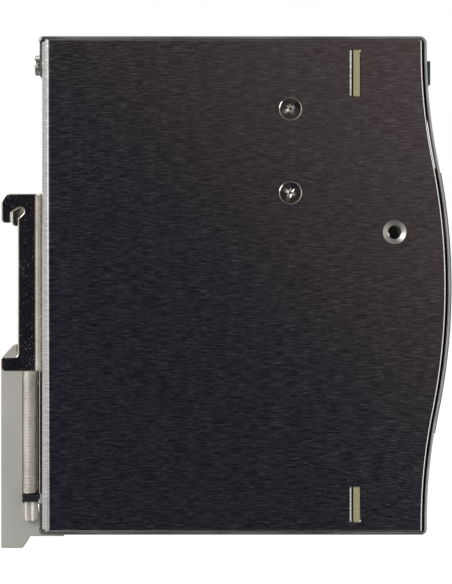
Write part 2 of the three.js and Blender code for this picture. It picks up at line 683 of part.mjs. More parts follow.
function frontBoard() {
  const low = FRONT_BOARD_Y - BOARD / 2;
  const high = FRONT_BOARD_Y + BOARD / 2;
  const inner = HALF_WIDTH - COVER - 0.6;
  const tabs = SLOTS.map(([z0, z1]) =>
    box(-HALF_WIDTH + 0.3, HALF_WIDTH - 0.3, low, high, z0 + 0.2, z1 - 0.2),
  );
  return join(box(-inner, inner, low, high, INNER_BOTTOM + 1.5, INNER_TOP - 1.5), ...tabs);
}
piece("front_board", frontBoard(), boardFibre);

function mainBoard() {
  const front = FRONT_BOARD_Y + BOARD / 2 + 0.1;
  const board = box(MAIN_FACE, MAIN_FACE + BOARD, front, REAR_FACE - COVER - 2, -58, 56);
  return cut(board, ...SUPPORTS.map(([y, z]) => alongX(disc(y, z, 1.6), 10, 30, HOLE_SIDES)));
}
piece("main_board", mainBoard(), boardFibre);

// The insulating sheet between the board's soldered side and the right wall.
const FILM_X = 22.6;
const film = cut(
  box(FILM_X - 0.2, FILM_X + 0.2, -82, REAR_FACE - COVER - 1.5, -59, 57),
  ...SUPPORTS.map(([y, z]) => alongX(disc(y, z, 3.0), 10, 30, HOLE_SIDES)),
);
piece("insulation_sheet", film, insulation);

SUPPORTS.forEach(([y, z], index) => {
  const post = MAIN_FACE + BOARD + 0.02; // the board's soldered side
  const wall = HALF_WIDTH - COVER - 0.02;
  const support = turned(
    [
      [0, 0],
      [2.8, 0],
      [2.8, wall - post],
      [1.4, wall - post],
      [1.4, wall - post + BOARD + 0.1],
      [1.55, wall - post + BOARD + 0.1],
      [1.0, wall - post + BOARD + 1.6],
      [0, wall - post + BOARD + 1.8],
    ],
    14,
  );
  piece(`board_support_${index + 1}`, support, whitePlastic, [wall, y, z], FACING_LEFT);
});

// ---------------------------------------------------------------- power parts
const SPREADER = { face: -HALF_WIDTH + COVER + 0.05, thickness: 3, y: [-80, -56], z: [10, 54] };
const spreader = cut(
  box(SPREADER.face, SPREADER.face + SPREADER.thickness, ...SPREADER.y, ...SPREADER.z),
  ...Object.values(SIDE_SCREWS).map(([y, z]) => alongX(disc(y, z, 1.6), -30, 0, HOLE_SIDES)),
);
piece("heat_spreader", spreader, aluminium);

// A plastic-bodied power device with its metal tab, lying against the spreader.
function powerDevice(y, z) {
  const face = SPREADER.face + SPREADER.thickness + 0.05;
  const tab = cut(
    box(face, face + 1.3, y - 5, y + 5, z, z + 15.5),
    alongX(disc(y, z + 12.8, 1.8), -30, 0, HOLE_SIDES),
  );
  const legs = [-2.54, 0, 2.54].map((x) =>
    box(face + 2.2, face + 2.8, y + x - 0.5, y + x + 0.5, z - 10, z + 1),
  );
  return join(tab, box(face, face + 4.4, y - 5, y + 5, z, z + 9.2), ...legs);
}
piece("power_transistor", powerDevice(-74, 34), epoxy);
piece("output_rectifier", powerDevice(-62, 34), epoxy);

// Ferrite core: a frame with a centre leg, and the winding round that leg.
const CORE = { x: [-1, 12], y: [-57, -23], z: [-8, 22], limb: 5, middle: 4.5 };
function transformerCore() {
  const y = (CORE.y[0] + CORE.y[1]) / 2;
  const windows = [-1, 1].map((side) => {
    const near = y + side * CORE.middle;
    const far = side < 0 ? CORE.y[0] + CORE.limb : CORE.y[1] - CORE.limb;
    const [low, high] = side < 0 ? [far, near] : [near, far];
    return box(-40, 40, low, high, CORE.z[0] + CORE.limb, CORE.z[1] - CORE.limb);
  });
  return cut(box(...CORE.x, ...CORE.y, ...CORE.z), ...windows);
}
piece("transformer_core", transformerCore(), ferrite);

function transformerWinding() {
  const y = (CORE.y[0] + CORE.y[1]) / 2;
  const reach = (CORE.y[1] - CORE.y[0]) / 2 - CORE.limb - 0.4;
  const low = CORE.z[0] + CORE.limb + 0.4;
  const high = CORE.z[1] - CORE.limb - 0.4;
  const coil = alongZ(plate(CORE.x[0] - 7.2, CORE.x[1] + 5.6, y - reach, y + reach, 5), low, high);
  const leg = box(CORE.x[0] - 0.3, CORE.x[1] + 0.3, y - CORE.middle - 0.3, y + CORE.middle + 0.3, -50, 50);
  return cut(coil, leg);
}
piece("transformer_winding", transformerWinding(), tape);

// An electrolytic can standing on the main board, with the crimp ring near its base.
function can(radius, length) {
  return turned(
    [
      [0, 0],
      [radius - 0.4, 0],
      [radius, 0.5],
      [radius, 1.8],
      [radius - 0.5, 2.4],
      [radius, 3.0],
      [radius, length - 0.8],
      [radius - 0.8, length],
      [0, length],
    ],
    18,
  );
}
piece("bulk_capacitor", can(12.5, 34), sleeve, [MAIN_FACE - 0.1, -25, -40], FACING_LEFT);
[42, 30.5, 19].forEach((z, index) => {
  piece(`output_capacitor_${index + 1}`, can(5, 22), sleeve, [MAIN_FACE - 0.1, -15, z], FACING_LEFT);
});

// A wound ring lying on the main board.
function ring(radius, thickness) {
  return solid(new THREE.TorusGeometry(radius, thickness, 8, 20));
}
piece("input_choke", ring(7.4, 3.8), copper, [MAIN_FACE - 4.4, -68.5, -43], FACING_LEFT);
piece("output_choke", ring(6.6, 3.4), copper, [MAIN_FACE - 4.0, -45, 38], FACING_LEFT);

const onBoard = MAIN_FACE - 0.1;
piece("film_capacitor", box(onBoard - 15, onBoard, -76, -67.5, -29, -11), filmYellow);
piece("bridge_rectifier", box(onBoard - 14, onBoard, -51.5, -48, -36, -14), epoxy);
piece("output_relay", box(onBoard - 12, onBoard, -33, -23, 30, 48), whitePlastic);
piece("control_chip", box(onBoard - 3.4, onBoard, -72, -65.6, 2, 21), epoxy);
piece("varistor", alongY(disc(onBoard - 6.2, -24, 5.6), -61, -57.2, 8), ceramicBlue);

const fuseProfile = [[0, 0], [2.6, 0], [2.6, 5], [2.4, 5.2], [2.4, 14.8], [2.6, 15], [2.6, 20], [0, 20]];
piece("input_fuse", turned(fuseProfile, 16), whitePlastic, [onBoard - 4.5, -78.6, -26]);

// ---------------------------------------------------------------- terminals
const TERMINAL = { depth: 16.9, screwRadius: 2.55, recess: 3.2, entry: 3.7 };
function terminalPoles(count, pitch) {
  return Array.from({ length: count }, (_, index) => (index - (count - 1) / 2) * pitch);
}

// A block of screw terminals: a screw well above a square wire entry for each pole.
function terminalBlock(poles, half, low, high) {
  const back = TERMINAL_FACE + TERMINAL.depth;
  const screwZ = high - 5;
  const entryZ = low + 4.6;
  const cutters = [];
  for (const x of poles) {
    cutters.push(alongY(disc(x, screwZ, TERMINAL.screwRadius + 0.25), TERMINAL_FACE - 1, back - 4, HOLE_SIDES));
    const side = TERMINAL.entry / 2;
    cutters.push(box(x - side, x + side, TERMINAL_FACE - 1, back - 3, entryZ - side, entryZ + side));
  }
  const block = box(-half, half, TERMINAL_FACE, back, low, high);
  return cut(block, ...cutters);
}

function terminalScrews(kind, poles, height) {
  poles.forEach((x, index) => {
    const head = TERMINAL_FACE + TERMINAL.recess;
    const screw = panScrew(TERMINAL.screwRadius, 2.2, 1.5, 6, 14);
    piece(`${kind}_terminal_screw_${index + 1}`, screw, nickel, [x, head + 2.2, height], FACING_FRONT);
  });
}

const WINDOW_PLAY = 0.4;
const outputPoles = terminalPoles(4, 10);
const inputPoles = terminalPoles(3, 10);
for (const [kind, poles] of Object.entries({ output: outputPoles, input: inputPoles })) {
  const [, right, low, high] = WINDOWS[kind];
  const block = terminalBlock(poles, right - WINDOW_PLAY, low + WINDOW_PLAY, high - WINDOW_PLAY);
  piece(`${kind}_terminal_block`, block, terminalPlastic);
  terminalScrews(kind, poles, high - WINDOW_PLAY - 5);
}

// The signal relay's header and the plug that pulls out of it.
const PLUG = { half: 4.55, low: 50.35, high: 56.35, face: -104.2 };
const behindPlug = FRONT_BOARD_Y - BOARD / 2 - 0.1;
const header = cut(
  box(-5.5, 5.5, -100.4, behindPlug, 49.4, 57.3),
  box(-4.75, 4.75, -102, -88.5, 50.15, 56.55),
);
piece("signal_header", header, greenPlastic);

function signalPlug() {
  const body = box(-PLUG.half, PLUG.half, PLUG.face, -89, PLUG.low, PLUG.high);
  const cutters = [];
  for (const x of [-1.95, 1.95]) {
    cutters.push(alongY(disc(x, PLUG.high - 1.7, 1.2), PLUG.face - 1, PLUG.face + 1.2, HOLE_SIDES));
    cutters.push(box(x - 1, x + 1, PLUG.face - 1, PLUG.face + 9, PLUG.low + 0.6, PLUG.low + 2.6));
  }
  return cut(body, ...cutters);
}
piece("signal_plug", signalPlug(), greenPlastic);

// ---------------------------------------------------------------- lamp and voltage trimmer
const lampFace = WRAP_FRONT - FILM - swell(LAMP.z) - 0.35;
const lampRoot = FRONT_BOARD_Y - BOARD / 2 - 0.1;
const lamp = turned(
  [
    [0, 0],
    [2.4, 0],
    [2.4, 1.2],
    [LAMP.radius, 1.2],
    [LAMP.radius, lampRoot - lampFace - 0.5],
    [LAMP.radius * 0.7, lampRoot - lampFace - 0.12],
    [0, lampRoot - lampFace],
  ],
  16,
);
piece("status_lamp", lamp, lampPlastic, [LAMP.x, lampRoot, LAMP.z], FACING_FRONT);

const trimmerFace = lampRoot - 7;
const trimmerBody = box(TRIMMER.x - 4, TRIMMER.x + 4, trimmerFace, lampRoot, TRIMMER.z - 4, TRIMMER.z + 4);
piece("trimmer_body", trimmerBody, bluePlastic);

const rotorLength = trimmerFace - (WRAP_FRONT - swell(TRIMMER.z)) - 2;
const rotor = cut(
  turned([[0, 0.05], [1.9, 0.05], [1.9, rotorLength - 0.3], [1.6, rotorLength], [0, rotorLength]], 20),
  box(-3, 3, -0.3, 0.3, rotorLength - 1.1, rotorLength + 1),
);
piece("trimmer_rotor", rotor, whitePlastic, [TRIMMER.x, trimmerFace, TRIMMER.z], FACING_FRONT);

export default unit;
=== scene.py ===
# %% [markdown]
# # A power supply for a mounting rail
# The object is a narrow metal box that hangs on a 35 mm steel rail. Two folded sheets make the box,
# a plated steel bracket hooks over the rail, and a sprung plastic latch holds it there. The exact
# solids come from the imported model. This lesson gives them their finishes and models the small
# pieces that need a finer shape: screws, coil springs, contacts and printed marks.

# %% Load the frame
import math

import bmesh
import bpy
from mathutils import Matrix, Vector


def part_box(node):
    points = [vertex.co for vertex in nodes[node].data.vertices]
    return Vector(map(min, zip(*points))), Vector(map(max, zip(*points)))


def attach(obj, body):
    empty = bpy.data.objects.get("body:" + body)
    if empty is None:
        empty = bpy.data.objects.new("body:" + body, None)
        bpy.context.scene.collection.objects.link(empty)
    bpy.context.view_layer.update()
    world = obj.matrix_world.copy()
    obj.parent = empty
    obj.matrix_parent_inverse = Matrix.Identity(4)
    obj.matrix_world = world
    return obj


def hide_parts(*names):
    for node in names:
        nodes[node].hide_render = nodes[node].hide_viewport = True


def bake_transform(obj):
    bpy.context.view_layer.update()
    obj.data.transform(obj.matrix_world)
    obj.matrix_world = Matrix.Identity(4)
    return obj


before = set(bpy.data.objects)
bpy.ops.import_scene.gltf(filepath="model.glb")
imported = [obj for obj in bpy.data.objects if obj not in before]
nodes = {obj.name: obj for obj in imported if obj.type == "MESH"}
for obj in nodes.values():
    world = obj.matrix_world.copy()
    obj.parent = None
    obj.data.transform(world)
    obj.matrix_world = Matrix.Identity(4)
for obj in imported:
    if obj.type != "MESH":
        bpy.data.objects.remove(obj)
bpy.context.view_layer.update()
MM = 0.001
print("loaded", len(nodes), "solids")

# %% [markdown]
# ## The camera
# The side of the box is seen square on, from about 0.65 m, with a long lens, so the depth of the box
# hardly shows. The lens is stated for the taller side of the frame.

# %% Place the camera
VIEW_FROM = (-0.675, -0.0521, -0.0025)
LENS = 162.1
SENSOR = 36

camera = bpy.data.objects.new("camera", bpy.data.cameras.new("camera"))
bpy.context.scene.collection.objects.link(camera)
camera.location = VIEW_FROM
camera.rotation_euler = (math.radians(90), 0, math.radians(-90))
camera.data.lens = LENS
camera.data.sensor_width = SENSOR
camera.data.clip_start = 0.01
bpy.context.scene.camera = camera
print("camera at", tuple(camera.location))

# %% [markdown]
# ## Helpers for materials
# Colours are written as the sRGB hex values that a paint program shows. Shaders work in linear light,
# so one function converts them. A second function adds a node, sets it and links it.

# %% Colour and node helpers
def linear(hex_colour):
    """An sRGB hex colour as linear red, green, blue and alpha."""
    parts = [int(hex_colour[i:i + 2], 16) / 255 for i in (0, 2, 4)]
    return tuple(p / 12.92 if p <= 0.04045 else ((p + 0.055) / 1.055) ** 2.4 for p in parts) + (1.0,)


def add(tree, kind, inputs=None, **settings):
    """A new shader node: settings are its properties, inputs are values or other nodes' outputs."""
    made = tree.nodes.new("ShaderNode" + kind)
    for key, value in settings.items():
        setattr(made, key, value)
    for socket, value in (inputs or {}).items():
        if isinstance(value, bpy.types.NodeSocket):
            tree.links.new(value, made.inputs[socket])
        else:
            made.inputs[socket].default_value = value
    return made


def new_material(name, **surface):
    """A material with one Principled shader, and its tree. surface sets the shader's own sockets."""
    material = bpy.data.materials.new(name)
    material.use_nodes = True
    shader = material.node_tree.nodes["Principled BSDF"]
    for socket, value in surface.items():
        shader.inputs[socket.replace("_", " ")].default_value = value
    return material, material.node_tree, shader


print("helpers ready")

# %% [markdown]
# ## Patterns
# Nearly every finish here is a noise that varies colour, roughness and height a little. Stretching the
# noise along one direction gives the fine lines of a brushed sheet. The sizes are real: a spacing in
# millimetres is turned into a scale per metre.

# %% A pattern that any material can use
def pattern(tree, spacing_mm, detail=3, seed=(0, 0, 0)):
    """Noise in object space. spacing_mm is the size of its features along x, y and z."""
    place = add(tree, "TexCoord")
    scale = tuple(1 / (s * MM) for s in spacing_mm)
    moved = add(tree, "Mapping", {"Vector": place.outputs["Object"], "Scale": scale, "Location": seed})
    noise = add(tree, "TexNoise", {"Vector": moved.outputs["Vector"], "Scale": 1.0, "Detail": detail})
    return noise.outputs["Fac"]


def between(tree, fac, low, high, start=0.3, stop=0.7):
    """A number that runs from low to high as the pattern runs from start to stop."""
    mapped = add(tree, "MapRange", {
        "Value": fac, "From Min": start, "From Max": stop, "To Min": low, "To Max": high})
    return mapped.outputs["Result"]


def tint(tree, fac, dark, light, start=0.3, stop=0.7):
    """A colour that runs from dark to light as the pattern runs from start to stop."""
    ramp = add(tree, "ValToRGB", {"Fac": fac})
    first, last = ramp.color_ramp.elements
    first.position, first.color = start, linear(dark)
    last.position, last.color = stop, linear(light)
    return ramp.outputs["Color"]


def relief(tree, shader, fac, depth_mm):
    """Bump of a real depth from a pattern."""
    bump = add(tree, "Bump", {"Height": fac, "Distance": depth_mm * MM, "Strength": 1.0})
    tree.links.new(bump.outputs["Normal"], shader.inputs["Normal"])


print("patterns ready")

# %% [markdown]
# ## Brushed stainless steel
# The cover's sheet is ground with a belt, which leaves fine parallel lines. They run the long way round
# the fold, so they are level on the sides and on the back. The lines are 0.22 mm apart and 3 to 4 mm
# long. The finest real scratches are too thin to show, so a second noise, about half as coarse, stands
# for them. The wrap is ground with a coarser belt across the front, and is duller.

# %% Brushed steel for the cover and the wrap
FINER = 0.45
LINE_DEPTH = 0.004
LINE_RANGE = (0.38, 0.62)


def brushed_steel(name, dark, light, along, rough):
    """Steel with grinding lines. along gives the spacing of the lines in mm on x, y and z."""
    material, tree, shader = new_material(name, Metallic=1.0)
    lines = pattern(tree, along, detail=4)
    fine = pattern(tree, [a * FINER for a in along], detail=2, seed=(3, 5, 7))
    both = add(tree, "Math", {0: lines, 1: fine}, operation="ADD").outputs[0]
    half = add(tree, "Math", {0: both, 1: 0.5}, operation="MULTIPLY").outputs[0]
    tree.links.new(tint(tree, half, dark, light, *LINE_RANGE), shader.inputs["Base Color"])
    tree.links.new(between(tree, half, *rough, *LINE_RANGE), shader.inputs["Roughness"])
    relief(tree, shader, half, LINE_DEPTH)
    return material


COVER_LINES = (3.5, 3.5, 0.22)
WRAP_LINES = (0.28, 14, 14)
cover_steel = brushed_steel("brushed stainless steel", "c6c5c6", "efeff0", COVER_LINES, (0.08, 0.185))
wrap_steel = brushed_steel("brushed steel wrap", "90908f", "a9a9a8", WRAP_LINES, (0.3, 0.42))
print("made", cover_steel.name, "and", wrap_steel.name)

# %% [markdown]
# ## Plated steel
# The bracket and the guide are zinc plated and passivated, which leaves a bright, slightly warm and
# slightly cloudy mirror with small dull specks. The fasteners, the spring wire and the clip are nickel
# plated, and the wire and the clip were tumbled, which dulls them. Cloudiness is a noise a few
# millimetres across on the roughness, and the plating's own grain is a far finer one.

# %% Zinc and nickel plate
CLOUD = 6
SPECK = 0.3


def plated(name, dark, light, rough, grain_mm=0.35, depth_mm=0.002, speck=0.0):
    """A plated steel. rough is its lowest and highest roughness, speck how much its specks add to it."""
    material, tree, shader = new_material(name, Metallic=1.0)
    cloud = pattern(tree, (CLOUD,) * 3, detail=5)
    grain = pattern(tree, (grain_mm,) * 3, detail=3, seed=(1, 2, 3))
    tree.links.new(tint(tree, cloud, dark, light), shader.inputs["Base Color"])
    spots = pattern(tree, (SPECK,) * 3, detail=2, seed=(7, 1, 5))
    specks = between(tree, spots, 0.0, speck, 0.6, 0.72)
    total = add(tree, "Math", {0: between(tree, cloud, *rough), 1: specks}, operation="ADD").outputs[0]
    tree.links.new(total, shader.inputs["Roughness"])
    relief(tree, shader, grain, depth_mm)
    return material


zinc = plated("bright zinc plate", "cac5b8", "eae5da", (0.08, 0.12), 0.5, 0.005, 0.2)
nickel = plated("nickel plate", "c3c0b8", "d8d5cd", (0.09, 0.15))
spring_wire = plated("plated spring wire", "e0dcd4", "f2efe9", (0.58, 0.68))
insert_zinc = plated("turned zinc plate", "aeaba5", "c4c1ba", (0.4, 0.5), 0.4, 0.004)
clip_nickel = plated("tumbled nickel plate", "f0ede6", "f8f6f1", (0.62, 0.7), 0.4, 0.004)
print("made", zinc.name, nickel.name, spring_wire.name, insert_zinc.name, clip_nickel.name)

# %% [markdown]
# ## Moulded plastics
# The latch is glass-filled nylon, the terminals and plug are nylon, and the parts on the boards are
# epoxy or polyester. Moulded plastic has a fine spark-eroded texture, about 0.2 mm across, and a sheen
# that varies a little. Its index of refraction is close to 1.5.

# %% Plastics
def moulded(name, dark, light, rough=(0.42, 0.56), grain_mm=0.22, depth_mm=0.012):
    """A moulded plastic with a fine surface texture."""
    material, tree, shader = new_material(name, Metallic=0.0, IOR=1.5)
    cloud = pattern(tree, (9, 9, 14), detail=4)
    grain = pattern(tree, (grain_mm,) * 3, detail=2, seed=(4, 4, 1))
    tree.links.new(tint(tree, cloud, dark, light), shader.inputs["Base Color"])
    tree.links.new(between(tree, cloud, *rough), shader.inputs["Roughness"])
    relief(tree, shader, grain, depth_mm)
    return material


latch_nylon = moulded("light grey nylon", "bcbab4", "c7c5bf")
terminal_nylon = moulded("dark grey nylon", "2b2e31", "373a3d")
green_nylon = moulded("green nylon", "173f22", "204d2c")
blue_plastic = moulded("blue polyester", "1f4f97", "2c62ad", (0.3, 0.4))
white_nylon = moulded("natural nylon", "dedbd0", "ecebe4")
black_epoxy = moulded("black epoxy", "17181a", "232427", (0.4, 0.5))
yellow_box = moulded("yellow polyester", "c79a22", "dbae34", (0.25, 0.35))
blue_coat = moulded("blue dipped coating", "274c95", "3660ac", (0.2, 0.3), 1.5, 0.03)
sleeve = moulded("dark shrink sleeve", "1d2027", "2a2e36", (0.25, 0.35), 0.6, 0.008)
core_ferrite = moulded("sintered ferrite", "232221", "33312f", (0.6, 0.75), 0.3, 0.03)
winding_tape = moulded("yellow polyester tape", "c9a62e", "dcbc46", (0.18, 0.28), 2.5, 0.02)
sheet_film = moulded("insulating film", "cfc5a2", "ddd5b6", (0.3, 0.4), 1.2, 0.01)
front_film = moulded("satin polyester film", "2a2e35", "31353d", (0.4, 0.48), 0.15, 0.004)
print("made thirteen plastics")

# %% [markdown]
# ## Fibre glass board
# A board is woven glass in epoxy under a green solder mask. Where it is cut, the cream laminate shows.
# The mask is on the two broad faces only, so the surface's own direction chooses between the colours.

# %% The boards
def board_laminate(name, axis):
    """Green on the faces across axis, cream on the cut edges."""
    material, tree, shader = new_material(name, Metallic=0.0, IOR=1.55, Roughness=0.35)
    weave = pattern(tree, (0.6, 0.6, 0.6), detail=2)
    mask = tint(tree, weave, "1d4d2a", "29603a")
    cut_edge = tint(tree, weave, "a6a17c", "bbb792")
    facing = add(tree, "SeparateXYZ", {0: add(tree, "NewGeometry").outputs["True Normal"]}).outputs[axis]
    broad = add(tree, "Math", {0: facing}, operation="ABSOLUTE").outputs[0]
    sharp = add(tree, "Math", {0: broad, 1: 0.5}, operation="GREATER_THAN").outputs[0]
    mixed = add(tree, "MixRGB", {"Fac": sharp, "Color1": cut_edge, "Color2": mask})
    tree.links.new(mixed.outputs[0], shader.inputs["Base Color"])
    relief(tree, shader, weave, 0.01)
    return material


front_laminate = board_laminate("front board laminate", "Y")
main_laminate = board_laminate("main board laminate", "X")
print("made", front_laminate.name, main_laminate.name)

# %% [markdown]
# ## Other finishes
# The heat spreader is extruded aluminium with draw lines. The chokes are wound with enamelled copper,
# whose turns lie across the ring. The lamp's lens is clear plastic with a green tint.

# %% Aluminium, copper and the lamp
aluminium = brushed_steel("extruded aluminium", "a3a5a8", "bcbec0", (9, 9, 0.5), (0.3, 0.45))
copper = plated("enamelled copper", "8f4521", "b96a3a", (0.2, 0.3), 0.8, 0.02)
lamp_lens, lens_tree, lens_shader = new_material(
    "green tinted lens", Metallic=0.0, IOR=1.49, Roughness=0.12, Transmission_Weight=0.35)
lens_cloud = pattern(lens_tree, (1.5, 1.5, 1.5))
lens_tree.links.new(tint(lens_tree, lens_cloud, "5fbf7d", "8fe0a6"), lens_shader.inputs["Base Color"])
print("made", aluminium.name, copper.name, lamp_lens.name)

# %% [markdown]
# ## Dressing the solids
# A solid whose shape is right keeps it. A Weld joins its loose triangles. Real cut and moulded edges are
# never razor sharp, so most solids get a small Bevel on what is steeper than 30 degrees. Flat faces are
# dissolved into one before it, so that the bevel runs evenly. The folded sheets already have their round
# edges, so they only keep their hard edges crisp. Weighted normals keep the broad faces flat.

# %% Give a solid its finish and its edges
SAME_POINT = 0.002
BEVEL_SEGMENTS = 2


def dress(name, material, edge_mm=0.0):
    """Material, and where edge_mm is given a bevel of that size, on a CAD solid."""
    solid = nodes[name]
    if not solid.material_slots:
        solid.data.materials.append(material)
    for place in solid.material_slots:
        place.material = material
    for face in solid.data.polygons:
        face.use_smooth = True
    weld = solid.modifiers.new("weld", "WELD")
    weld.merge_threshold = SAME_POINT * MM
    if edge_mm:
        flat = solid.modifiers.new("flat faces", "DECIMATE")
        flat.decimate_type = "DISSOLVE"
        flat.angle_limit = math.radians(0.5)
        bevel = solid.modifiers.new("edge", "BEVEL")
        bevel.width = edge_mm * MM
        bevel.segments = BEVEL_SEGMENTS
        bevel.limit_method = "ANGLE"
        bevel.angle_limit = math.radians(30)
        bevel.use_clamp_overlap = False
    else:
        hard = solid.modifiers.new("hard edges", "EDGE_SPLIT")
        hard.split_angle = math.radians(35)
    even = solid.modifiers.new("normals", "WEIGHTED_NORMAL")
    even.keep_sharp = False


print("dresser ready")

# %% Dress every solid
dressing = {
    "side_cover": (cover_steel, 0.0),
    "front_wrap": (wrap_steel, 0.0),
    "front_label": (front_film, 0.0),
    "rail_bracket": (zinc, 0.3),
    "latch_guide": (zinc, 0.12),
    "spring_pin": (nickel, 0.08),
    "rail_latch": (latch_nylon, 0.2),
    "latch_clip": (clip_nickel, 0.0),
    "side_insert_left": (insert_zinc, 0.0),
    "side_insert_right": (insert_zinc, 0.0),
    "front_board": (front_laminate, 0.0),
    "main_board": (main_laminate, 0.0),
    "insulation_sheet": (sheet_film, 0.0),
    "heat_spreader": (aluminium, 0.15),
    "power_transistor": (black_epoxy, 0.1),
    "output_rectifier": (black_epoxy, 0.1),
    "transformer_core": (core_ferrite, 0.3),
    "transformer_winding": (winding_tape, 0.2),
    "input_choke": (copper, 0.0),
    "output_choke": (copper, 0.0),
    "film_capacitor": (yellow_box, 0.4),
    "bridge_rectifier": (black_epoxy, 0.25),
    "output_relay": (white_nylon, 0.3),
    "control_chip": (black_epoxy, 0.15),
    "varistor": (blue_coat, 0.6),
    "input_fuse": (white_nylon, 0.1),
    "output_terminal_block": (terminal_nylon, 0.15),
    "input_terminal_block": (terminal_nylon, 0.15),
    "signal_header": (green_nylon, 0.1),
    "signal_plug": (green_nylon, 0.15),
    "status_lamp": (lamp_lens, 0.1),
    "trimmer_body": (blue_plastic, 0.15),
    "trimmer_rotor": (white_nylon, 0.08),
}
for number in range(1, 5):
    dressing[f"board_support_{number}"] = (white_nylon, 0.0)
for height in ("upper", "lower"):
    for side in ("left", "right"):
        dressing[f"bracket_rivet_{height}_{side}"] = (nickel, 0.0)
for capacitor in ("bulk_capacitor", "output_capacitor_1", "output_capacitor_2", "output_capacitor_3"):
    dressing[capacitor] = (sleeve, 0.1)
for solid_name, (finish, edge) in dressing.items():
    dress(solid_name, finish, edge)
print("dressed", len(dressing), "solids")

# %% [markdown]
# ## Making new pieces
# Each new piece starts as a bmesh in millimetres. When its shape is done it is scaled to metres, given
# outward normals and a material, and set to ride on the body it belongs to.

# %% Turn a bmesh into a finished piece
def to_object(name, mesh_data, material, body, stands_for=(), smooth=True):
    """An object from a bmesh in millimetres, riding on a body if one is named."""
    bmesh.ops.remove_doubles(mesh_data, verts=mesh_data.verts, dist=0.0005)
    bmesh.ops.recalc_face_normals(mesh_data, faces=mesh_data.faces)
    bmesh.ops.scale(mesh_data, vec=(MM, MM, MM), verts=mesh_data.verts)
    mesh = bpy.data.meshes.new(name)
    mesh_data.to_mesh(mesh)
    mesh_data.free()
    for face in mesh.polygons:
        face.use_smooth = smooth
    made = bpy.data.objects.new(name, mesh)
    bpy.context.scene.collection.objects.link(made)
    made.data.materials.append(material)
    if body:
        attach(made, body)
    if stands_for:
        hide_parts(*stands_for)
    return made


def finish_edges(piece, edge_mm):
    """A bevel and weighted normals on a new piece."""
    bevel = piece.modifiers.new("edge", "BEVEL")
    bevel.width = edge_mm * MM
    bevel.segments = BEVEL_SEGMENTS
    bevel.limit_method = "ANGLE"
    bevel.angle_limit = math.radians(30)
    piece.modifiers.new("normals", "WEIGHTED_NORMAL")


print("piece maker ready")

# %% [markdown]
# ## Spinning and carving
# A turned part is its half profile, spun once round the axis. A recess is carved out of it by cutters. A
# Boolean does the carving, and its result is kept as plain mesh so that no cutter stays in the scene.

# %% Spin and carve
def spun(profile, steps):
    """A closed shape from (radius, height) points in mm, spun about z. The ends are on the axis."""
    shape = bmesh.new()
    points = [shape.verts.new((radius, 0, height)) for radius, height in profile]
    edges = [shape.edges.new(pair) for pair in zip(points, points[1:])]
    bmesh.ops.spin(shape, geom=points + edges, cent=(0, 0, 0), axis=(0, 0, 1), dvec=(0, 0, 0),
                   angle=2 * math.pi, steps=steps, use_merge=True, use_duplicate=False)
    bmesh.ops.remove_doubles(shape, verts=shape.verts, dist=0.0005)
    return shape


def blade(half_long, half_wide, depth, taper):
    """A tapered blade that reaches depth below z = 0, for a recess."""
    shape = bmesh.new()
    bmesh.ops.create_cube(shape, size=2)
    bmesh.ops.scale(shape, vec=(half_long, half_wide, depth), verts=shape.verts)
    low = [v for v in shape.verts if v.co.z < 0]
    bmesh.ops.scale(shape, vec=(taper, taper, 1), verts=low)
    return shape


def carved(blank, cutters):
    """The blank with each cutter taken away, as a new bmesh."""
    made = []
    for shape in [blank, *cutters]:
        mesh = bpy.data.meshes.new("work")
        bmesh.ops.recalc_face_normals(shape, faces=shape.faces)
        shape.to_mesh(mesh)
        shape.free()
        made.append(bpy.data.objects.new("work", mesh))
        bpy.context.scene.collection.objects.link(made[-1])
    for cutter in made[1:]:
        carve = made[0].modifiers.new("carve", "BOOLEAN")
        carve.object = cutter
        carve.operation = "DIFFERENCE"
        carve.solver = "EXACT"
    bpy.context.view_layer.update()
    result = bmesh.new()
    result.from_mesh(made[0].evaluated_get(bpy.context.evaluated_depsgraph_get()).to_mesh())
    for piece in made:
        bpy.data.objects.remove(piece)
    return result


print("spinning and carving ready")

# %% [markdown]
# ## Cross-headed screws
# The screw is spun: a flat head with a small chamfer on its rim, and a plain shank. Two shallow tapered
# blades, crossed, carve the recess, and a short deep one carves its middle.

# %% A cross-headed screw
CROSS_DEPTH = 0.22
MIDDLE_DEPTH = 0.7
BLADE_TAPER = 0.15


def cross_screw(head_radius, head_height, shank_radius, shank_length, steps):
    """A cross-headed screw along z, its head above z = 0."""
    profile = [(0, -shank_length), (shank_radius * 0.8, -shank_length),
               (shank_radius, -shank_length + 0.4), (shank_radius, 0), (head_radius, 0),
               (head_radius, head_height - 0.2), (head_radius - 0.05, head_height - 0.08),
               (head_radius - 0.16, head_height), (0, head_height)]
    arms = []
    reach, width = head_radius * 0.8, head_radius * 0.3
    for turn, half_long, half_wide, depth in (
            (0, reach, width, CROSS_DEPTH),
            (math.pi / 2, reach, width, CROSS_DEPTH),
            (math.pi / 4, width, width, MIDDLE_DEPTH)):
        arm = blade(half_long, half_wide, depth, BLADE_TAPER)
        bmesh.ops.translate(arm, vec=(0, 0, head_height), verts=arm.verts)
        bmesh.ops.rotate(arm, cent=(0, 0, 0), matrix=Matrix.Rotation(turn, 3, "Z"), verts=arm.verts)
        arms.append(arm)
    return carved(spun(profile, steps), arms)


def hard_edged(piece):
    """Keeps edges sharper than 30 degrees crisp on a smooth piece."""
    piece.data.set_sharp_from_angle(angle=math.radians(30))


def set_down(shape, place, towards, turn=0.0):
    """Turns a shape about its own z, points z towards a direction, and moves it to its place."""
    aim = Vector(towards).to_track_quat("Z", "Y").to_matrix() @ Matrix.Rotation(turn, 3, "Z")
    bmesh.ops.rotate(shape, cent=(0, 0, 0), matrix=aim, verts=shape.verts)
    bmesh.ops.translate(shape, vec=place, verts=shape.verts)


print("screw maker ready")

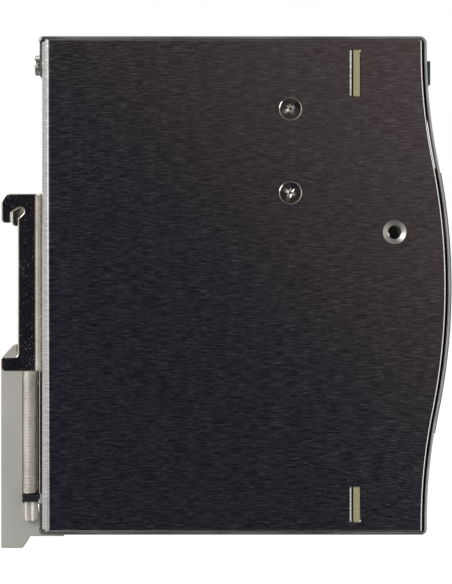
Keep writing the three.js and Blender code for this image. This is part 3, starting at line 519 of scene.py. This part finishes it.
# %% [markdown]
# ## The side and rear screws
# Two screws hold the heat spreader to the left wall and four hold the wrap's tabs to the back. Each
# takes its place from the solid it stands for, and each was stopped at its own angle. The lower rear
# heads are thinner than the upper ones. A head sits 0.02 mm off its sheet, so that no faces coincide.

# %% Side and rear screws
WALL_X = 25
CLEAR = 0.02
SIDE_TURNS = (0.5, 1.15)
REAR_HEADS = (1.38, 0.58)


def middle_mm(name):
    """The middle of a CAD solid's box in mm, and its low and high corners."""
    low, high = (Vector(c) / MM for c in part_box(name))
    return (low + high) / 2, low, high


for order, height in enumerate(("upper", "lower")):
    name = f"side_screw_{height}"
    centre, low, high = middle_mm(name)
    screw = cross_screw(2.8, 1.5, 1.45, 3.7, 48)
    set_down(screw, (-WALL_X - CLEAR, centre.y, centre.z), (-1, 0, 0), SIDE_TURNS[order])
    head = to_object(f"{name}_head", screw, nickel, "housing", [name])
    hard_edged(head)
for order, height in enumerate(("upper", "lower")):
    for other, side in enumerate(("left", "right")):
        name = f"rear_screw_{height}_{side}"
        centre, low, high = middle_mm(name)
        tall = REAR_HEADS[order]
        screw = cross_screw(2.53, tall, 1.4, 4.9, 36)
        turn = 0.3 + order + 0.7 * other
        set_down(screw, (centre.x, high.y - tall - CLEAR, centre.z), (0, 1, 0), turn)
        head = to_object(f"{name}_head", screw, nickel, "housing", [name])
        hard_edged(head)
print("made six screws")

# %% [markdown]
# ## The terminal screws
# These sit at the bottom of round wells and are turned with a driver, so each is its own moving piece.

# %% Terminal screws
HEAD_SEAT = 2.2

for kind, count in (("output", 4), ("input", 3)):
    for number in range(1, count + 1):
        name = f"{kind}_terminal_screw_{number}"
        centre, low, high = middle_mm(name)
        screw = cross_screw(2.5, 2.15, 1.45, 5.9, 36)
        set_down(screw, (centre.x, low.y + HEAD_SEAT, centre.z), (0, -1, 0), 0.4 * number)
        head = to_object(f"{name}_head", screw, nickel, f"{kind}_screw_{number}", [name])
        hard_edged(head)
print("made seven terminal screws")

# %% [markdown]
# ## The wire clamps
# Behind each wire entry sits the open end of a plated steel cage, which the screw pulls shut. Only its
# mouth shows, so it is a short square tube: a cube without its two end faces, given a wall by Solidify.

# %% Clamp mouths
ENTRY_ABOVE_FOOT = 4.6
BEHIND_FACE = 4.6
MOUTH = (3.5, 6, 3.5)
MOUTH_WALL = 0.45

for kind, count in (("output", 4), ("input", 3)):
    block, low, high = middle_mm(f"{kind}_terminal_block")
    for number in range(1, count + 1):
        screw_place = middle_mm(f"{kind}_terminal_screw_{number}")[0]
        tube = bmesh.new()
        bmesh.ops.create_cube(tube, size=1)
        ends = [f for f in tube.faces if abs(f.normal.y) > 0.9]
        bmesh.ops.delete(tube, geom=ends, context="FACES_ONLY")
        bmesh.ops.scale(tube, vec=MOUTH, verts=tube.verts)
        entry = (screw_place.x, low.y + BEHIND_FACE, low.z + ENTRY_ABOVE_FOOT)
        bmesh.ops.translate(tube, vec=entry, verts=tube.verts)
        mouth = to_object(f"{kind}_clamp_{number}", tube, nickel, "housing", smooth=False)
        wall = mouth.modifiers.new("wall", "SOLIDIFY")
        wall.thickness = MOUTH_WALL * MM
        wall.offset = -1
print("made seven clamp mouths")

# %% [markdown]
# ## Marks on the front
# The film carries polarity marks under the output terminals and a scale round the trimmer's hole. Ink has
# almost no thickness, so each mark is a thin flat shape laid on the curved film. A ray cast at the film
# finds the place and the slope.

# %% Find the film
RAY_START = -200


def on_film(x, z):
    """The place in mm on the film's front at x and z, and the film's outward direction there."""
    start = Vector((x, RAY_START, z)) * MM
    _, place, normal, _ = nodes["front_label"].ray_cast(start, Vector((0, 1, 0)))
    return place / MM, normal


print("film's front at the middle:", round(on_film(0, 0)[0].y, 2), "mm")

# %% Printed marks
INK = 0.05
SIGN_Z = 25.4
SIGN_LONG = 1.8
SIGN_THICK = 0.4
white_ink = moulded("white printing ink", "d9dad6", "e6e7e3", (0.5, 0.6), 0.3, 0.002)


def bar(width, height):
    """A flat bar of ink in the xy plane."""
    shape = bmesh.new()
    bmesh.ops.create_cube(shape, size=1)
    bmesh.ops.scale(shape, vec=(width, height, INK), verts=shape.verts)
    return shape


for number, sign in enumerate("++--", 1):
    x = middle_mm(f"output_terminal_screw_{number}")[0].x
    place, outward = on_film(x, SIGN_Z)
    strokes = [(SIGN_LONG, SIGN_THICK), (SIGN_THICK, SIGN_LONG)]
    for part, (width, height) in enumerate(strokes[:2 if sign == "+" else 1]):
        stroke = bar(width, height)
        set_down(stroke, place, outward)
        to_object(f"polarity_mark_{number}_{part}", stroke, white_ink, "housing", smooth=False)
print("printed the signs")

# %% [markdown]
# ## The trimmer's scale
# The scale is three quarters of a ring. One short bar of ink is spun round the middle of the
# trimmer. The film has a hole there, so the ray is cast 4 mm beside it.

# %% The trimmer's scale
SCALE_RADIUS = 3.0
SCALE_LINE = 0.4
SCALE_START = math.radians(-45)
SCALE_SWEEP = math.radians(270)
BESIDE_HOLE = 4

trimmer, low, high = middle_mm("trimmer_rotor")
place, outward = on_film(trimmer.x + BESIDE_HOLE, trimmer.z)
arc = bar(SCALE_LINE, SCALE_LINE / 2)
bmesh.ops.translate(arc, vec=(SCALE_RADIUS, 0, 0), verts=arc.verts)
end_face = [f for f in arc.faces if f.normal.y > 0.9]
bmesh.ops.rotate(arc, cent=(0, 0, 0), matrix=Matrix.Rotation(SCALE_START, 3, "Z"), verts=arc.verts)
bmesh.ops.spin(arc, geom=end_face, cent=(0, 0, 0), axis=(0, 0, 1), dvec=(0, 0, 0),
               angle=SCALE_SWEEP, steps=40, use_merge=False)
set_down(arc, (trimmer.x, place.y, trimmer.z), outward)
to_object("trimmer_scale", arc, white_ink, "housing", smooth=False)
print("printed the scale")

# %% [markdown]
# ## The latch springs
# A tension spring is wound close, coil against coil. A disc as thick as the wire is spun about the
# spring's axis and lifted a little at each step, which is how a lathe winds it. As the latch is pulled,
# the coils must open, but here the coil is made once, at rest, and rides on no body.

# %% Wind the springs
WIRE = 0.17
COIL_RADIUS = 1.53
PITCH = 0.37
STEPS_PER_TURN = 16


def wound(top, foot):
    """A close-wound coil from foot up to top, about the z axis."""
    turns = (top - foot - 2 * WIRE) / PITCH
    steps = int(turns * STEPS_PER_TURN)
    coil = bmesh.new()
    ring = bmesh.ops.create_circle(coil, cap_ends=True, segments=8, radius=WIRE)
    bmesh.ops.rotate(coil, cent=(0, 0, 0), matrix=Matrix.Rotation(math.pi / 2, 3, "X"),
                     verts=ring["verts"])
    bmesh.ops.translate(coil, vec=(COIL_RADIUS, 0, foot + WIRE), verts=ring["verts"])
    bmesh.ops.spin(coil, geom=coil.verts[:] + coil.edges[:] + coil.faces[:], cent=(0, 0, 0),
                   axis=(0, 0, 1), dvec=(0, 0, PITCH / STEPS_PER_TURN),
                   angle=2 * math.pi * steps / STEPS_PER_TURN, steps=steps, use_merge=False)
    return coil


for side in ("left", "right"):
    name = f"latch_spring_{side}"
    centre, low, high = middle_mm(name)
    coil = wound(high.z, low.z)
    bmesh.ops.translate(coil, vec=(centre.x, centre.y, 0), verts=coil.verts)
    spring = to_object(f"{name}_coil", coil, spring_wire, None, [name])
    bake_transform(spring)
print("wound two springs")

# %% [markdown]
# ## Painted shade under the springs
# A small black block on the latch, just below the foot of each spring and above the plated clip, is
# painted shade for the gap between them. A cube is scaled to the block's size, and its edges are rounded
# a little.

# %% Painted shade blocks under the springs
SHADE_BLOCK_SIZE = (3.0, 4.3, 1.85)
SHADE_BLOCK_FORWARD = 0.62
SHADE_BLOCK_BELOW = 1.03

for side in ("left", "right"):
    centre, low, high = middle_mm(f"latch_spring_{side}")
    shade_block = bmesh.new()
    bmesh.ops.create_cube(shade_block, size=1)
    bmesh.ops.scale(shade_block, vec=SHADE_BLOCK_SIZE, verts=shade_block.verts)
    middle = (centre.x, centre.y - SHADE_BLOCK_FORWARD, low.z - SHADE_BLOCK_BELOW)
    bmesh.ops.translate(shade_block, vec=middle, verts=shade_block.verts)
    # painted shade: a black block that darkens the gap under the spring's foot
    block = to_object(f"painted_shade_block_{side}", shade_block, black_epoxy, "latch")
    finish_edges(block, 0.15)
print("made two spring seats")

# %% [markdown]
# ## The slots' lips
# The punch leaves a lip on the rear side of each slot, bent a little inwards, which catches the light. It
# is a narrow strip, turned about its long side and laid inside the slot.

# %% Slot lips
SLOT_REAR = -82.7
LIP_SPANS = {"upper": (46.0, 57.3), "lower": (-59.3, -50.8)}
LIP_THICK = 0.12
LIP_WIDE = 0.5
LIP_BEND = math.radians(28)
LIP_INWARD = 0.2
LIP_FORWARD = 0.22

for level, (foot, top) in LIP_SPANS.items():
    for side, inward in (("left", 1), ("right", -1)):
        strip = bmesh.new()
        bmesh.ops.create_cube(strip, size=1)
        bmesh.ops.scale(strip, vec=(LIP_THICK, LIP_WIDE, top - foot), verts=strip.verts)
        bent = Matrix.Rotation(-inward * LIP_BEND, 3, "Z")
        bmesh.ops.rotate(strip, cent=(0, 0, 0), matrix=bent, verts=strip.verts)
        x = inward * (LIP_INWARD - WALL_X)
        bmesh.ops.translate(strip, vec=(x, SLOT_REAR - LIP_FORWARD, (foot + top) / 2), verts=strip.verts)
        to_object(f"slot_lip_{level}_{side}", strip, cover_steel, "housing", smooth=False)
print("made four lips")

# %% [markdown]
# ## The stage
# A pale floor runs far behind the object. It glows a little, as a lit studio floor does, and it is kept
# out of reflections, so that the metal mirrors the room only.

# %% The floor
FLOOR_SIZE = 8
FLOOR_AHEAD = 3.93
FLOOR_Z = -0.2
FLOOR_GLOW = 0.95

shape = bmesh.new()
bmesh.ops.create_grid(shape, x_segments=1, y_segments=1, size=FLOOR_SIZE / 2)
bmesh.ops.translate(shape, vec=(FLOOR_AHEAD, 0, FLOOR_Z), verts=shape.verts)
floor_mesh = bpy.data.meshes.new("floor")
shape.to_mesh(floor_mesh)
shape.free()
floor = bpy.data.objects.new("floor", floor_mesh)
bpy.context.scene.collection.objects.link(floor)
paint, tree, shader = new_material("floor paint", Roughness=0.9)
shader.inputs["Base Color"].default_value = linear("9c9c9a")
shader.inputs["Emission Color"].default_value = (1, 1, 1, 1)
shader.inputs["Emission Strength"].default_value = FLOOR_GLOW
floor_mesh.materials.append(paint)
floor.visible_glossy = False
floor.visible_diffuse = False
print("floor at", round(floor_mesh.vertices[0].co.z, 4))

# %% [markdown]
# ## The lamps
# Two large soft boxes light the plastics and the dull metal. They stand where the flat side and the rear
# bends don't mirror them, so they add no glare there.

# %% Soft boxes
def soft_box(name, place, aim, size, power):
    """A square area light aimed at a point. Lengths are in metres, power is in watts."""
    light = bpy.data.lights.new(name, "AREA")
    light.size, light.energy = size, power
    lamp = bpy.data.objects.new(name, light)
    lamp.location = place
    lamp.rotation_euler = (Vector(aim) - Vector(place)).to_track_quat("-Z", "Y").to_euler()
    lamp.visible_camera = False
    bpy.context.scene.collection.objects.link(lamp)
    return lamp


soft_box("soft box above", (0.2, -0.05, 0.9), (0, -0.05, 0), 0.8, 2)
soft_box("soft box beside", (-0.42, 0.6, 0.42), (0, 0, 0), 0.5, 4.6)
print("hung two soft boxes")

# %% [markdown]
# ## What the metal mirrors
# Bright metal shows the room around it, so the room is drawn as a world whose brightness depends on
# the direction. Only the narrow part of the room that the flat side mirrors is dark, cool at the lower
# left and a little warmer towards the top right. Round it the room is brightest, which lights every
# rounded edge. Further round it is calmer, and it dims towards the ceiling, the floor and the rear. What
# stands behind the object is plain white.

# %% The room
world = bpy.data.worlds.new("surroundings")
bpy.context.scene.world = world
world.use_nodes = True
sky = world.node_tree
sky.nodes.clear()
direction = add(sky, "SeparateXYZ", {0: add(sky, "TexCoord").outputs["Generated"]})
right, rear, up = (direction.outputs[axis] for axis in "XYZ")
sideways = add(sky, "Math", {0: rear}, operation="ABSOLUTE").outputs[0]
upright = add(sky, "Math", {0: up}, operation="ABSOLUTE").outputs[0]
# brightest close round the dark corner, calmer further on
round_corner = between(sky, right, 2.0, 0.65, -0.9, -0.74)
# straight above and below the corner the room is dim, and its sides are bright
middle_band = between(sky, right, 0.08, 0.8, -0.75, -0.35)
side_walls = between(sky, sideways, middle_band, 0.95, 0.1, 0.6)
# dimmer towards the ceiling and the floor, and dimmer at the rear than at the front
heights = between(sky, upright, 1.15, 0.45, 0.15, 0.6)
rear_wall = between(sky, rear, 1.15, 0.7, -0.4, 0.4)
brightness = round_corner
for shade in (heights, side_walls, rear_wall):
    brightness = add(sky, "Math", {0: brightness, 1: shade}, operation="MULTIPLY").outputs[0]
print("drew the room's walls")

# %% The dark corner
COOL_DARK = (0.0072, 0.0078, 0.0135, 1)
WARM_DARK = (0.078, 0.058, 0.055, 1)
ROOM_WHITE = (1.0, 0.99, 0.965, 1)

corner_edge = between(sky, right, 0.0, 1.0, -0.988, -0.89)
slant = add(sky, "Math", {0: up, 1: rear}, operation="SUBTRACT").outputs[0]
warmth = between(sky, slant, 0.0, 1.0, 0.0, 0.2)
dark = add(sky, "MixRGB", {"Fac": warmth, "Color1": COOL_DARK, "Color2": WARM_DARK})
lit = add(sky, "MixRGB", {"Fac": 1.0, "Color1": ROOM_WHITE, "Color2": brightness}, blend_type="MULTIPLY")
tone = add(sky, "MixRGB", {"Fac": corner_edge, "Color1": dark.outputs[0], "Color2": lit.outputs[0]})
room = add(sky, "Background", {"Color": tone.outputs[0], "Strength": 1.2})
backdrop = add(sky, "Background", {"Color": (1, 1, 1, 1), "Strength": 1.0})
seen_directly = add(sky, "LightPath").outputs["Is Camera Ray"]
whole = add(sky, "MixShader", {0: seen_directly, 1: room.outputs[0], 2: backdrop.outputs[0]})
add(sky, "OutputWorld", {"Surface": whole.outputs[0]})
bpy.context.scene.view_settings.view_transform = "Standard"
print("lit the room")
